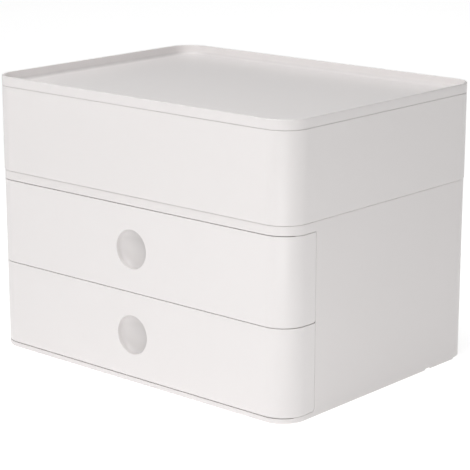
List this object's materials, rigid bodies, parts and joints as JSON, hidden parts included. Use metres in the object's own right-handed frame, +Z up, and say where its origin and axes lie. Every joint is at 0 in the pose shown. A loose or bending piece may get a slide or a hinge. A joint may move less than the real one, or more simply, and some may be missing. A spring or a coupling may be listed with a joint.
{
  "type": "desk drawer organiser",
  "caption": "White moulded desk organiser: pull-out drawers with round finger pulls in a rounded housing, and a lift-off box with a tray lid on top.",
  "frame": {"origin": "middle of the surface that the feet stand on, under the middle of the overall box", "axes": "+Z up, -Y towards the front where the drawers pull out, +X to the right seen from the front"},
  "size_m": [0.26, 0.195, 0.19],
  "materials": {
    "housing_plastic": "glossy white ABS",
    "front_plastic": "glossy white ABS",
    "box_plastic": "glossy white ABS",
    "lid_plastic": "white ABS, satin inside the tray",
    "tray_plastic": "satin white polystyrene",
    "divider_plastic": "satin white polystyrene",
    "foot_rubber": "grey soft rubber"
  },
  "bodies": {
    "housing": {"housing": "housing_plastic", "front_left_foot": "foot_rubber", "front_right_foot": "foot_rubber", "rear_left_foot": "foot_rubber", "rear_right_foot": "foot_rubber"},
    "lower_drawer": {"lower_drawer_tray": "tray_plastic", "lower_drawer_front": "front_plastic"},
    "upper_drawer": {"upper_drawer_tray": "tray_plastic", "upper_drawer_front": "front_plastic"},
    "organiser_box": {"organiser_box": "box_plastic", "left_divider": "divider_plastic", "right_divider": "divider_plastic"},
    "tray_lid": {"tray_lid": "lid_plastic"}
  },
  "joints": [
    {"name": "lower_drawer_slide", "type": "slide", "parent": "housing", "child": "lower_drawer", "axis": [0, -1, 0], "range_m": [0, 0.125]},
    {"name": "upper_drawer_slide", "type": "slide", "parent": "housing", "child": "upper_drawer", "axis": [0, -1, 0], "range_m": [0, 0.125]},
    {"name": "organiser_box_lift", "type": "slide", "parent": "housing", "child": "organiser_box", "axis": [0, 0, 1], "range_m": [0, 0.08]},
    {"name": "tray_lid_lift", "type": "slide", "parent": "organiser_box", "child": "tray_lid", "axis": [0, 0, 1], "range_m": [0, 0.08]}
  ]
}
